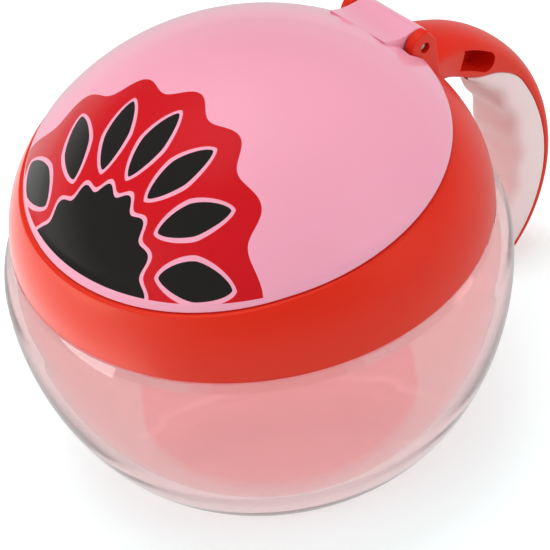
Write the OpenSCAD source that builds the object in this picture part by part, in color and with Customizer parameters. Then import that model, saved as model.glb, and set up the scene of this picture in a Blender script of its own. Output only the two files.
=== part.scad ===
// Toddler snack container: a round-bellied bowl, a screw-on collar with a handle,
// a flap insert, and a domed flip lid on a steel hinge pin.
// Origin: centre of the bowl's flat foot. +Z is up, +X points to the handle,
// and the XZ plane is the mirror plane. Millimetres.

/* [Bowl] */
// Outer radius at the widest part of the belly
belly_r = 48; // [46:0.5:50]
// Height of the widest part above the foot
belly_z = 36.6; // [34:0.2:38.4]
// Radius of the flat foot that the bowl stands on
foot_r = 31.9; // [29:0.1:34]
// Thickness of the bowl's wall
bowl_wall = 2.2; // [1.6:0.1:2.8]
// Thickness of the bowl's floor
floor_t = 2.6; // [2:0.1:4]
// Outer radius of the neck that the collar screws on to
neck_r = 39.8; // [39:0.1:40.2]
// Height of the neck's rim above the shoulder
neck_h = 8.9; // [8.5:0.1:9.1]

/* [Collar] */
// Outer radius of the collar's lower edge
collar_low_r = 45.5; // [44.9:0.1:46.1]
// Height of the collar's lower edge above the foot
collar_low_z = 45.4; // [44.9:0.1:45.9]
// How far the collar's side stands out of the lid's flange
rim_margin = 0.44; // [0.2:0.02:0.8]
// Height above the collar's lower edge at which its side meets the lid's flange
collar_rise = 16.2; // [15.7:0.1:16.7]
// How far the collar's side bulges out of its straight chord
collar_bulge = 1.7; // [1.4:0.1:2]
// Radial room for the screw thread between the neck and the collar
thread_room = 1.4; // [1.2:0.1:1.6]
// Radius of the mouth through the collar's deck
mouth_r = 34; // [32:0.5:35]
// Depth of the collar's deck below the lid's edge plane
deck_drop = 3.4; // [3.3:0.1:3.6]
// Slope of the thumb dip at the front of the rim, in degrees
dip_angle = 2.5; // [1.5:0.1:3]

/* [Lid] */
// Radius of the lid's flange
lid_r = 39.96; // [39.6:0.02:40.1]
// Height of the dome above the flange's upper edge
dome_h = 18.9; // [17:0.1:20]
// Thickness of the dome
lid_wall = 2.2; // [1.8:0.1:2.6]
// Thickness of the lid's flange
flange_t = 1.2; // [1:0.1:1.4]
// Tilt of the lid, which rises towards the hinge, in degrees
lid_tilt = 3.54; // [3:0.02:4]
// Height of the flange's upper edge at the lid's axis, above the collar's lower edge
lid_rise = 17.6; // [17.4:0.1:17.8]
// Offset of the lid's axis from the bowl's axis
lid_x = -1; // [-1.2:0.1:-0.8]
// How far the thumb lip stands out of the flange at the front
lip_out = 1.1; // [0.6:0.1:1.3]
// How far the plug skirt stands in from the flange's edge
plug_inset = 2.86; // [2.6:0.02:3.2]
// Thickness of the plug skirt
plug_t = 1.6; // [1.2:0.1:2]
// How far the plug skirt reaches below the lid's edge plane
plug_h = 3; // [2.6:0.1:3]

/* [Hinge] */
// How far the pin's axis lies inside the flange's edge
pin_inset = 0.46; // [0.3:0.02:0.6]
// Height of the pin's axis above the flange's upper edge
pin_rise = 2.06; // [1.9:0.02:2.3]
// Radius of the steel pin
pin_r = 1.05; // [0.8:0.05:1.3]
// Radius of the lid's hinge barrel
barrel_r = 3.1; // [2.8:0.1:3.2]
// Length of the lid's hinge barrel
barrel_l = 15; // [14:0.2:15.6]
// Radius of each ear's round head
ear_r = 3.4; // [3.2:0.1:3.6]
// Thickness of each ear
ear_t = 2.1; // [1.8:0.1:2.4]
// Distance from the pin's axis to the flat back of the ears
ear_flat = 2.9; // [2.7:0.1:3.1]
// Height above the pin's axis at which the flat back of the ears ends
ear_shoulder = 0.3; // [0:0.1:1.2]
// How far the lid's tongue reaches in over the dome from the flange's edge
tongue_l = 7.4; // [6.6:0.1:8]
// How far each end of the pin lies below the ear's face
pin_recess = 0.6; // [0.3:0.1:0.8]

/* [Handle] */
// How far the handle stands out from the collar's lower edge
handle_reach = 25.1; // [23.9:0.2:26.5]
// Height of the handle's furthest point above the foot
handle_z = 27.4; // [26.6:0.2:28.2]
// Radius of the handle's outer line above its furthest point
upper_arc_r = 36; // [35.4:0.1:36.6]
// Radius of the handle's outer line below its furthest point
lower_arc_r = 33; // [32.4:0.1:33.4]
// Thickness of the handle from its outer line to the finger side
handle_t = 10.1; // [9.6:0.1:10.6]
// How far the handle's sides lie in from the ears' faces at its root
root_inset = 1.2; // [0.6:0.1:2]
// Distance along which the handle narrows behind the hinge ears
taper_l = 10.8; // [9:0.2:14]
// Half width of the handle at the grip
grip_w = 6.7; // [6.2:0.1:7.4]
// Height of the grip's finger waves
wave_h = 0.8; // [0.2:0.1:1]
// Number of finger waves on the grip
wave_count = 5; // [4:1:7]
// Width of the side pockets across the handle
pocket_w = 4.2; // [3.4:0.1:4.4]
// Thickness of the web left between the two side pockets
pocket_web = 2.4; // [1.6:0.1:4]

/* [Insert] */
// Thickness of the insert's flange and ledge
insert_t = 1.2; // [1:0.1:1.3]
// Depth of the insert's dish below its flange
dish_h = 4; // [3.4:0.1:5]
// Thickness of the soft flaps
flap_t = 1.2; // [0.8:0.1:1.6]
// Distance from the axis to each flap's bending line
flap_reach = 23; // [20:0.5:24]
// Width of the slits between the flaps
slit_w = 1; // [0.8:0.1:1.4]
// Width of the star's open centre
star_hole = 3; // [2.4:0.2:6]

/* [Fits] */
// Radial running clearance between the pin and its bores
pin_clear = 0.05; // [0.03:0.01:0.08]
// Gap between parts that turn or lift past each other
move_gap = 0.4; // [0.35:0.05:0.45]
// Gap between parts that rest on each other or are moulded together
seat_gap = 0.1; // [0.05:0.05:0.15]

/* [Hidden] */
$fn = 96;
big = 120;

// Heights that follow from the sizes above
lid_z = collar_low_z + lid_rise;
shoulder_z = collar_low_z - 0.3;
neck_top = shoulder_z + neck_h;
flange_top = neck_top + insert_t;
deck_z = flange_top + seat_gap;
skirt_r = neck_r + thread_room;
neck_bore_r = neck_r - bowl_wall;
dish_r = neck_bore_r - move_gap;
dish_z = neck_top - dish_h;
flap_z = dish_z + insert_t;

// Lid frame: where the hinge pin lies when measured from the lid's own axis and edge
pin_lx = lid_r - pin_inset;
pin_lz = pin_rise;
pin_x = lid_x + pin_lx * cos(lid_tilt) - pin_lz * sin(lid_tilt);
pin_z = lid_z + pin_lx * sin(lid_tilt) + pin_lz * cos(lid_tilt);
plug_r = lid_r - plug_inset;
collar_top_r = lid_r + rim_margin;
dome_r = (lid_r * lid_r + dome_h * dome_h) / (2 * dome_h);
dome_drop = dome_r - dome_h;
land_drop = flange_t + 2 * seat_gap;
dip_start = 20;
rim_in = plug_r + move_gap;
ear_in = barrel_l / 2 + 0.3;
ear_out = ear_in + ear_t;
ear_back = pin_x + ear_flat;
handle_x = collar_low_r + handle_reach;

// Points on an arc of radius r about [cx, cy], from angle a to angle b in n steps
function arc(cx, cy, r, a, b, n) =
    [for (i = [0:n]) let (t = a + (b - a) * i / n) [cx + r * cos(t), cy + r * sin(t)]];

function reversed(v) = [for (i = [len(v) - 1:-1:0]) v[i]];

// Smooth curve through the numbers in v: its value at place t, from 0 to len(v) - 1
function pick(v, i) = v[max(0, min(len(v) - 1, i))];
function along(v, t) =
    let (i = max(0, min(floor(t), len(v) - 2)), f = t - i,
         p0 = pick(v, i - 1), p1 = pick(v, i), p2 = pick(v, i + 1), p3 = pick(v, i + 2))
    p1 + (p2 - p0) * f / 2 + (2 * p0 - 5 * p1 + 4 * p2 - p3) * f * f / 2
       + (3 * p1 - p0 - 3 * p2 + p3) * f * f * f / 2;

// A solid through a list of rings of points, closed at both ends
module loft(rings) {
    n = len(rings[0]);
    last = len(rings) - 1;
    polyhedron(
        points = [for (ring = rings) for (p = ring) p],
        faces = concat(
            [[for (j = [0:n - 1]) j]],
            [for (i = [0:last - 1]) for (j = [0:n - 1])
                let (k = (j + 1) % n) each [
                    [i * n + j, (i + 1) * n + j, (i + 1) * n + k],
                    [i * n + j, (i + 1) * n + k, i * n + k]]],
            [[for (j = [n - 1:-1:0]) last * n + j]]),
        convexity = 8);
}

module lid_frame() {
    translate([lid_x, 0, lid_z]) rotate([0, -lid_tilt, 0]) children();
}

// ---- Bowl ----

flare = 1.49;    // how round the bowl is where it leaves the foot
rise = 1.09;     // how steeply its side climbs to the belly
bowl_steps = 28;

// Side of the bowl from its foot to its belly, as [radius, height]
function lower_side(r0, r1, z0, z1) =
    [for (i = [0:bowl_steps]) let (a = 90 * i / bowl_steps)
        [r0 + (r1 - r0) * pow(sin(a), flare), z0 + (z1 - z0) * (1 - pow(cos(a), rise))]];

// Side of the bowl from its belly up to a fraction t of the way to the shoulder
function upper_side(r1, r2, t, n) =
    [for (i = [1:n]) let (f = t * i / n)
        [r1 - (r1 - r2) * f * f, belly_z + (shoulder_z - belly_z) * f]];

module bowl() {
    inner_belly = belly_r - bowl_wall;
    inner_top = collar_low_r - bowl_wall;
    color([0.93, 0.66, 0.68, 0.6])
    rotate_extrude($fn = 128)
    polygon(concat(
        [[0, 0]],
        lower_side(foot_r, belly_r, 0, belly_z),
        upper_side(belly_r, collar_low_r, 1, 8),
        [[neck_r, shoulder_z], [neck_r, neck_top - 0.4], [neck_r - 0.4, neck_top],
         [neck_bore_r + 0.4, neck_top], [neck_bore_r, neck_top - 0.4],
         [neck_bore_r, shoulder_z - 1.7], [neck_r - 0.6, shoulder_z - 2.1]],
        reversed(upper_side(inner_belly, inner_top, 0.62, 6)),
        reversed(lower_side(foot_r - bowl_wall, inner_belly, floor_t, belly_z)),
        [[0, floor_t]]));
}

// ---- Collar ----

collar_chord = norm([collar_low_r - collar_top_r, collar_rise]);
collar_arc_r = collar_chord * collar_chord / (8 * collar_bulge) + collar_bulge / 2;
collar_lean = atan2(collar_low_r - collar_top_r, collar_rise);
collar_in = collar_arc_r - collar_bulge;
collar_cx = (collar_low_r + collar_top_r) / 2 - collar_in * cos(collar_lean);
collar_cz = collar_low_z + collar_rise / 2 - collar_in * sin(collar_lean);
collar_a0 = asin((collar_low_z - collar_cz) / collar_arc_r);
collar_a1 = 58;

// Outer side of the collar, grown by a gap
function collar_side(gap) =
    arc(collar_cx, collar_cz, collar_arc_r + gap, collar_a0 + 1.2, collar_a1, 22);

module collar_ring() {
    top = collar_cz + collar_arc_r * sin(collar_a1);
    rotate_extrude($fn = 128)
    polygon(concat(
        [[skirt_r + 0.5, collar_low_z]],
        [[collar_low_r - 0.5, collar_low_z]],
        collar_side(0),
        [[mouth_r - 4, top], [mouth_r - 4, deck_z], [skirt_r, deck_z],
         [skirt_r, collar_low_z + 0.5]]));
}

// Everything above the rim, with the shallow thumb dip at the front
module above_rim() {
    lid_frame() {
        translate([-big / 2, -big / 2, -land_drop]) cube([big, big, big / 4]);
        translate([-dip_start, 0, -land_drop]) rotate([0, -dip_angle, 0])
            translate([-big / 2, -big / 2, 0]) cube([big / 2, big, big / 4]);
    }
}

// One hinge ear, as a profile in the XZ plane
module ear_profile() {
    intersection() {
        union() {
            translate([pin_x, pin_z]) circle(r = ear_r, $fn = 64);
            translate([pin_x - ear_r, deck_z + 2]) square([2 * ear_r, pin_z - deck_z - 2]);
        }
        polygon([[pin_x - 2 * ear_r, 0], [ear_back, 0], [ear_back, pin_z + ear_shoulder],
                 [pin_x + ear_r / 3, pin_z + ear_r], [pin_x - 2 * ear_r, pin_z + ear_r]]);
    }
}

module ears() {
    for (side = [-1, 1])
        translate([0, side * (ear_in + ear_t / 2), 0])
        rotate([90, 0, 0]) linear_extrude(ear_t, center = true) ear_profile();
}

// The block between the ears, scooped out round the lid's barrel
module hinge_block() {
    scoop_r = barrel_r + move_gap;
    rotate([90, 0, 0]) linear_extrude(2 * ear_in + ear_t, center = true)
    difference() {
        polygon([[pin_x - 2, deck_z + 2], [ear_back, deck_z + 2], [ear_back, pin_z - 2],
                 [pin_x, pin_z - 2], [pin_x, pin_z - scoop_r], [pin_x - 2, pin_z - scoop_r - 0.1]]);
        translate([pin_x, pin_z]) circle(r = scoop_r);
    }
}

module collar() {
    color([0.86, 0.2, 0.15])
    difference() {
        union() {
            difference() {
                collar_ring();
                above_rim();
                lid_frame() translate([0, 0, -deck_drop]) cylinder(r = rim_in, h = big);
                lid_frame() translate([0, 0, -big / 4]) cylinder(r = mouth_r, h = big);
            }
            hinge_block();
            ears();
        }
        translate([pin_x, 0, pin_z]) rotate([90, 0, 0])
            cylinder(r = pin_r + pin_clear, h = big, center = true, $fn = 48);
    }
}

// ---- Handle ----

upper_cx = handle_x - upper_arc_r;
lower_cx = handle_x - lower_arc_r;
root_a = acos((ear_back + seat_gap / 2 - upper_cx) / upper_arc_r);
root_w = ear_out - root_inset;
tip_a = -50;
row_step = 10;

// Values every row_step degrees along the handle, from the root to the tip
row_t = [-2.6, -2.2, -1.8, -1.3, -0.9, -0.6, -0.3, -0.1, 0, 0, -0.2, -0.5, -0.8, -1.1];
row_crown = [3, 3, 3, 3, 3, 3, 3, 2.9, 2.7, 2.4, 2.1, 1.8, 1.5, 1.2];
row_core = [7.5, 7.9, 8, 7.5, 5.4, 3.9, 3.7, 3.5, 3.2, 2.9, 2.6, 2.3, 2, 1.6];
row_corner = [2, 2, 0.6, 0.3, 0.3, 0.3, 0.3, 0.3, 0.3, 0.3, 0.3, 0.3, 0.3, 0.3];
row_narrow = [0, 0, 0, 0, 0, 0, 0, 0, 0, 0, 0.1, 0.3, 0.6, 1.1];
row_fan = [-0.38, -0.3, -0.19, -0.09, -0.02, 0, 0, 0, 0, 0, 0, 0, 0, 0];

function value(v, u) = along(v, (root_a - max(u, tip_a)) / row_step);
function side_w(x, u) =
    grip_w + (root_w - grip_w) * pow(max(0, 1 - (x - ear_back) / taper_l), 1.5)
    - value(row_narrow, u);

// Point at depth d below the handle's outer line at angle u. The sections fan out from the
// upright root face, and close in on the middle of the tip by the share k.
function spine_point(u, d) =
    u >= 0
        ? let (a = u + value(row_fan, u) * d)
            [upper_cx + (upper_arc_r - d) * cos(a), handle_z + (upper_arc_r - d) * sin(a)]
        : [lower_cx + (lower_arc_r - d) * cos(u), handle_z + (lower_arc_r - d) * sin(u)];

// Section of the hard core at angle u, as [half width place, depth]
function core_section(w, c, b, cr) =
    concat(
        [for (i = [0:14]) let (a = -90 + 180 * i / 14) [w * sin(a), c * (1 - cos(a))]],
        [for (a = [0:30:90]) [w - cr * (1 - cos(a)), b - cr + cr * sin(a)]],
        [for (a = [90:-30:0]) [-w + cr * (1 - cos(a)), b - cr + cr * sin(a)]]);

// Section of the soft grip at angle u
function grip_section(w, top, low) =
    let (cr = min(2.6, (low - top) * 0.8))
    concat(
        [[-w, top]],
        [for (a = [0:18:90]) [-w + cr * (1 - cos(a)), low - cr + cr * sin(a)]],
        [for (a = [90:-18:0]) [w - cr * (1 - cos(a)), low - cr + cr * sin(a)]],
        [[w, top]]);

function placed(u, section) =
    [for (p = section) let (q = spine_point(u, p[1])) [q[0], p[0], q[1]]];

function depth(u) = handle_t + value(row_t, u);
function core_depth(u) = min(value(row_core, u), depth(u));

// The round end: sections of the tip at angle b of a half turn about its middle
function tip_point(b, y, d) =
    let (t = depth(tip_a), m = spine_point(tip_a, t / 2),
         out = [cos(tip_a), sin(tip_a)], on = [sin(tip_a), -cos(tip_a)],
         h = t / 2 * cos(b), s = t / 2 * sin(b),
         q = m + out * (h - d * cos(b)) + on * s)
    [q[0], y * (0.25 + 0.75 * cos(b)), q[1]];

module handle_core() {
    first = root_a;
    root_x = ear_back + seat_gap / 2;
    angles = [for (u = [first - 2.5:-2.5:tip_a + 1]) u];
    function section(u) =
        core_section(side_w(spine_point(u, 0)[0], u), value(row_crown, u), core_depth(u),
                     value(row_corner, u));
    root = [for (p = core_section(root_w, row_crown[0], depth(first), row_corner[0]))
        [root_x, p[0], handle_z + sqrt(pow(upper_arc_r - p[1], 2) - pow(root_x - upper_cx, 2))]];
    color([0.86, 0.2, 0.15])
    difference() {
        loft(concat(
            [root],
            [for (u = angles) placed(u, section(u))],
            [placed(tip_a, section(tip_a))],
            [for (b = [15:15:60]) [for (p = section(tip_a)) tip_point(b, p[0], p[1])]]));
        rotate_extrude($fn = 128)
            polygon(concat([[0, collar_low_z]], collar_side(seat_gap), [[0, big / 2]]));
        for (side = [0, 1]) mirror([0, side, 0]) pocket();
    }
}

pocket_depth = 4.4;    // the slot's middle line lies this far below the handle's back

// Blind slot in one side of the handle: square at the root end, round at the far end
module pocket() {
    r = upper_arc_r - pocket_depth;
    a0 = 48.8;
    a1 = 62;
    h = pocket_w / 2;
    translate([upper_cx, pocket_web / 2, handle_z]) rotate([90, 0, 0]) mirror([0, 0, 1])
        linear_extrude(big / 4) {
            polygon(concat(arc(0, 0, r + h, a0, a1, 8), arc(0, 0, r - h, a1, a0, 8)));
            translate([r * cos(a0), r * sin(a0)]) circle(r = h, $fn = 48);
        }
}

grip_a = 57;

module handle_grip() {
    function wave(u) =
        let (f = (grip_a - 6 - u) / (grip_a - 6 - tip_a - 4))
        f < 0 || f > 1 ? 0 : wave_h * (0.5 - 0.5 * cos(360 * wave_count * f)) - wave_h / 2 * sin(180 * f);
    function section(u) =
        grip_section(side_w(spine_point(u, 0)[0], u), core_depth(u) + seat_gap, depth(u) + wave(u));
    color([0.96, 0.78, 0.78])
    loft(concat(
        [for (u = [grip_a:-1.5:tip_a + 0.5]) placed(u, section(u))],
        [placed(tip_a, section(tip_a))],
        [for (b = [15:15:75]) [for (p = section(tip_a)) tip_point(b, p[0], p[1])]]));
}

// ---- Hinge pin ----

module hinge_pin() {
    length = 2 * (ear_out - pin_recess);
    color([0.72, 0.7, 0.66])
    translate([pin_x, 0, pin_z]) rotate([90, 0, 0]) {
        cylinder(r = pin_r, h = length - 0.4, center = true, $fn = 48);
        for (side = [0, 1]) mirror([0, 0, side])
            translate([0, 0, length / 2 - 0.2])
            cylinder(r1 = pin_r, r2 = pin_r - 0.2, h = 0.2, $fn = 48);
    }
}

// ---- Lid ----

module lid_shell() {
    inner_r = dome_r - lid_wall;
    plug_in = plug_r - plug_t;
    edge_a = asin((dome_drop + 0.3) / dome_r);
    rotate_extrude($fn = 128)
    polygon(concat(
        [[plug_in, -plug_h + 0.3], [plug_in + 0.3, -plug_h], [plug_r - 0.3, -plug_h],
         [plug_r, -plug_h + 0.3], [plug_r, -flange_t], [lid_r - 0.3, -flange_t],
         [lid_r, -flange_t + 0.3], [lid_r, -0.2]],
        [for (p = arc(0, -dome_drop, dome_r, edge_a, 90, 30)) [max(0, p[0]), p[1]]],
        [for (p = arc(0, -dome_drop, inner_r, 90, acos(plug_in / inner_r), 30)) [max(0, p[0]), p[1]]]));
}

// Crescent at the front that the thumb pushes up: an off-centre cone over the thumb dip
module thumb_lip() {
    lip_h = flange_t + 0.9;
    shift = 1;
    top_r = lid_r - 1.2 + lip_out / 2;
    difference() {
        translate([-shift, 0, -lip_h]) {
            cylinder(r1 = lid_r - shift + lip_out, r2 = top_r, h = lip_h - 0.3);
            translate([0, 0, lip_h - 0.3]) cylinder(r1 = top_r, r2 = top_r - 0.4, h = 0.3);
        }
        translate([0, 0, -big / 4]) cylinder(r = plug_r - 0.8, h = big);
        translate([-dip_start, -big / 2, -flange_t - big]) cube([big, big, big]);
        translate([-dip_start, 0, -flange_t]) rotate([0, -dip_angle, 0])
            translate([-big, -big / 2, -big]) cube([big, big, big]);
    }
}

// The tongue that carries the hinge barrel out from the dome
module tongue() {
    function dome_at(x) = sqrt(dome_r * dome_r - x * x) - dome_drop;
    function under_at(x) = sqrt(pow(dome_r - lid_wall, 2) - x * x) - dome_drop + 0.4;
    root = lid_r - tongue_l;
    heel = plug_r - 0.6;
    rotate([90, 0, 0]) linear_extrude(barrel_l, center = true) {
        translate([pin_lx, pin_lz]) circle(r = barrel_r, $fn = 64);
        polygon([[root, under_at(root)], [root, dome_at(root)],
                 [pin_lx - barrel_r - 0.9, pin_lz + barrel_r + 0.5],
                 [pin_lx, pin_lz + barrel_r], [pin_lx, pin_lz - barrel_r + 0.02],
                 [heel, -flange_t + 0.3], [heel, under_at(heel)]]);
    }
}

module lid() {
    color([0.93, 0.64, 0.74])
    lid_frame() difference() {
        union() {
            lid_shell();
            thumb_lip();
            tongue();
        }
        for (side = [-1, 1])
            translate([pin_lx - ear_r - move_gap - 0.3,
                       side * (ear_in + ear_t / 2) - ear_t / 2 - 0.3, -big / 2])
                cube([big, ear_t + 0.6, big]);
        translate([pin_lx, 0, pin_lz]) rotate([90, 0, 0])
            cylinder(r = pin_r + pin_clear, h = big, center = true, $fn = 48);
    }
}

// ---- Flap insert ----

ledge_r = flap_reach / cos(30) + 0.6;

module insert_ring() {
    color([0.97, 0.84, 0.84])
    rotate_extrude($fn = 128)
    polygon([
        [dish_r - 1.6, flange_top], [neck_r - 0.4, flange_top], [neck_r - 0.4, neck_top],
        [dish_r, neck_top], [dish_r, dish_z + 0.5], [dish_r - 0.5, dish_z],
        [ledge_r, dish_z], [ledge_r, flap_z], [dish_r - 1.6, flap_z]]);
}

web_in = flap_reach + flap_t / 2 + 0.3;

module flap_web() {
    color([0.98, 0.88, 0.88])
    translate([0, 0, flap_z]) difference() {
        cylinder(r = dish_r - 2, h = flap_t, $fn = 128);
        rotate([0, 0, 30]) translate([0, 0, -1])
            cylinder(r = web_in / cos(30), h = flap_t + 2, $fn = 6);
    }
}

// One soft flap, bending at flap_reach along the direction that it is turned to
module flap(index) {
    slit = slit_w / 2 / cos(30);
    tip = star_hole / 2 + 0.6;
    function half(x) = x * tan(30) - slit;
    color([0.98, 0.88, 0.88])
    rotate([0, 0, 60 * (index - 1)]) translate([0, 0, flap_z]) {
        linear_extrude(flap_t)
            polygon([[tip, -half(tip)], [flap_reach, -half(flap_reach)],
                     [flap_reach, half(flap_reach)], [tip, half(tip)]]);
        translate([flap_reach, 0, flap_t / 2]) rotate([90, 0, 0])
            cylinder(r = flap_t / 2, h = 2 * half(flap_reach - flap_t), center = true, $fn = 32);
    }
}

bowl();
collar();
handle_core();
handle_grip();
hinge_pin();
lid();
insert_ring();
flap_web();
flap(1);  // flap_1
flap(2);  // flap_2
flap(3);  // flap_3
flap(4);  // flap_4
flap(5);  // flap_5
flap(6);  // flap_6
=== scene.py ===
# %% [markdown]
# # A toddler's snack container
# A round bowl, a screw-on collar with a handle, a domed lid on a hinge pin, and a soft
# insert with six flaps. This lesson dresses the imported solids: each cell makes one real
# piece or one finish, at the place where the solids have it. Sizes are written in
# millimetres and turned into metres at the last moment.

# %% Load the frame
import math
import bpy
import bmesh
from mathutils import Matrix, Vector


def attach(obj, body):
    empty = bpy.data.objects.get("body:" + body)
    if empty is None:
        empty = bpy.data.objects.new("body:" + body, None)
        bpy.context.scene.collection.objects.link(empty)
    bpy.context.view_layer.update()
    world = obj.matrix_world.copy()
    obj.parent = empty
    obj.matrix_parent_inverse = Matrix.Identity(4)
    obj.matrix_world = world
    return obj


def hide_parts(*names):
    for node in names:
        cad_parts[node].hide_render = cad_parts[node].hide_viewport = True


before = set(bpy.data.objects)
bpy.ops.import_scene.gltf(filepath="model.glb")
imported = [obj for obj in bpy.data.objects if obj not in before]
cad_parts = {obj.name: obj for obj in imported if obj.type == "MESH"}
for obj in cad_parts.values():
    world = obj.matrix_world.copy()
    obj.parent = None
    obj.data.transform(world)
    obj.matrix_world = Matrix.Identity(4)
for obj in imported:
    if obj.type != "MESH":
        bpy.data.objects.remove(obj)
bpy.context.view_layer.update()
scene = bpy.context.scene
MM = 0.001


def count_faces(what, *pieces):
    """Prints how many faces a cell has made."""
    print(what + ":", sum(len(piece.data.polygons) for piece in pieces), "faces")


def new_object(name, data):
    """An object of the scene, made from its data."""
    obj = bpy.data.objects.new(name, data)
    scene.collection.objects.link(obj)
    return obj


# %% [markdown]
# ## Camera
# A long lens from a metre and a third away keeps the rim's circles nearly as round as
# they are. The view is built from where the lens stands, which way it looks and how far
# it is rolled, and a small shift sets the object's place in the frame.

# %% Camera
eye = Vector((-598.8, -792.2, 894.5)) * MM
look = Vector((0.45452, 0.60133, -0.65713)).normalized()
roll = math.radians(8.73)
level_right = look.cross(Vector((0, 0, 1))).normalized()
level_up = level_right.cross(look)
right = level_right * math.cos(roll) - level_up * math.sin(roll)
up = level_up * math.cos(roll) + level_right * math.sin(roll)

lens = bpy.data.cameras.new("camera")
lens.sensor_width = 36
lens.lens = 458.2
lens.shift_x = 0.0212
lens.shift_y = 0.0195
lens.clip_end = 20
camera = new_object("camera", lens)
turn = Matrix((right, up, -look)).transposed().to_4x4()
camera.matrix_world = Matrix.Translation(eye) @ turn
scene.camera = camera
print("camera at", [round(v, 3) for v in eye])

# %% [markdown]
# ## Light and floor
# White paper lit by soft boxes, as for a catalogue. Only the low strip box is mirrored:
# it draws the long sheen down the left side of the collar and the bowl. On the glossier
# lid it would burn out, so the lid has a strip of its own there that isn't mirrored. The
# sheen card lies on the paper at the left, and only the collar's satin skin mirrors it.
# The key, fill and top boxes just light the shapes.
#
# The world is white for the camera, and for a ray that has passed through the bowl. Glossy
# faces see a tent instead, mid grey at the horizon and darker overhead, so that red and
# pink stay deep. For the camera the paper adds white of its own, more of it far away: it
# reads as white and still keeps the soft shadow. It is one-sided, so that the foot shows
# from below, and lies a hair under the bowl so that the two never share a plane.

# %% Light and floor
def add_node(tree, kind, inputs=None, **settings):
    """A new node of a kind, a shader node unless its name says otherwise. Its settings
    are made first. Each input takes a constant or a link: from another node's output, or
    from its first output where the node itself is given."""
    node = tree.nodes.new(kind if "Node" in kind else "ShaderNode" + kind)
    for key, value in settings.items():
        setattr(node, key, value)
    for key, value in (inputs or {}).items():
        if isinstance(value, bpy.types.Node):
            value = value.outputs[0]
        if isinstance(value, bpy.types.NodeSocket):
            tree.links.new(value, node.inputs[key])
        else:
            node.inputs[key].default_value = value
    return node


def math_node(tree, operation, *terms):
    """The output of a Math node whose terms are numbers or come from other nodes."""
    return add_node(tree, "Math", dict(enumerate(terms)), operation=operation).outputs[0]


def eased(tree, value, low, high, at_low, at_high):
    """A value mapped smoothly from at_low to at_high as it goes from low to high."""
    node = add_node(tree, "MapRange",
                    {"Value": value, "From Min": low, "From Max": high,
                     "To Min": at_low, "To Max": at_high}, interpolation_type="SMOOTHSTEP")
    return node.outputs["Result"]


def mixed(tree, share, first, second):
    """Two shaders mixed: all of the first where the share is 0, of the second at 1."""
    return add_node(tree, "MixShader", {0: share, 1: first, 2: second}).outputs[0]


def new_material(name):
    """A node material and its tree, still empty."""
    mat = bpy.data.materials.new(name)
    mat.use_nodes = True
    mat.node_tree.nodes.clear()
    return mat, mat.node_tree


def soft_box(name, at, wide, tall, power, mirrored=False, aim=(0, 0, 0.03)):
    """An area light that looks at the object, mirrored in glossy faces or not."""
    data = bpy.data.lights.new(name, "AREA")
    data.shape = "RECTANGLE"
    data.size = wide
    data.size_y = tall
    data.energy = power
    lamp = new_object(name, data)
    lamp.location = at
    lamp.rotation_euler = (Vector(aim) - Vector(at)).to_track_quat("-Z", "Y").to_euler()
    lamp.visible_glossy = mirrored
    return lamp


def link_light(lamp, piece, state):
    """Makes a lamp light one piece only (INCLUDE), or every piece but that one (EXCLUDE)."""
    group = bpy.data.collections.new(lamp.name + "_pieces")
    group.objects.link(piece)
    group.collection_objects[0].light_linking.link_state = state
    lamp.light_linking.receiver_collection = group


LOW_LEFT = (-0.78, 0.60, 0.13)
strip_box = soft_box("strip_box", LOW_LEFT, 0.80, 0.20, 2.6, mirrored=True)
sheen_card = soft_box("sheen_card", (-0.12, 0.14, 0.003), 0.34, 0.30, 0.46, mirrored=True,
                      aim=(-0.12, 0.14, 1.0))
for kind in ("camera", "diffuse", "transmission", "volume_scatter"):
    setattr(sheen_card, "visible_" + kind, False)
lid_strip = soft_box("lid_strip", LOW_LEFT, 0.80, 0.20, 3.2)
soft_box("key_box", (-0.88, 0.10, 0.42), 0.70, 0.70, 2.2)
soft_box("fill_box", (0.45, -0.80, 0.55), 0.70, 0.70, 3.5)
soft_box("top_box", (0.10, 0.30, 0.95), 0.70, 0.70, 4.6)

WHITE = (1, 1, 1, 1)
WORLD_FILL = 0.45
world = bpy.data.worlds.new("studio")
scene.world = world
world.use_nodes = True
tree = world.node_tree
tree.nodes.clear()
rays = add_node(tree, "LightPath").outputs
way = add_node(tree, "TexCoord").outputs["Generated"]
rise = add_node(tree, "SeparateXYZ", {0: way}).outputs["Z"]
tent = eased(tree, rise, 0.10, 0.40, 0.45, 0.15)
gone_through = math_node(tree, "MINIMUM", rays["Transmission Depth"], 1.0)
mirror_level = math_node(tree, "MAXIMUM", gone_through, tent)
level = add_node(tree, "Mix", {0: rays["Is Glossy Ray"], 2: WORLD_FILL, 3: mirror_level},
                 data_type="FLOAT").outputs[0]
seen = math_node(tree, "MAXIMUM", rays["Is Camera Ray"], rays["Is Transmission Ray"])
sky = add_node(tree, "Background", {"Color": WHITE, "Strength": level})
paper = add_node(tree, "Background", {"Color": WHITE, "Strength": 1.0})
add_node(tree, "OutputWorld",
         {"Surface": mixed(tree, seen, sky, paper)})

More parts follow.
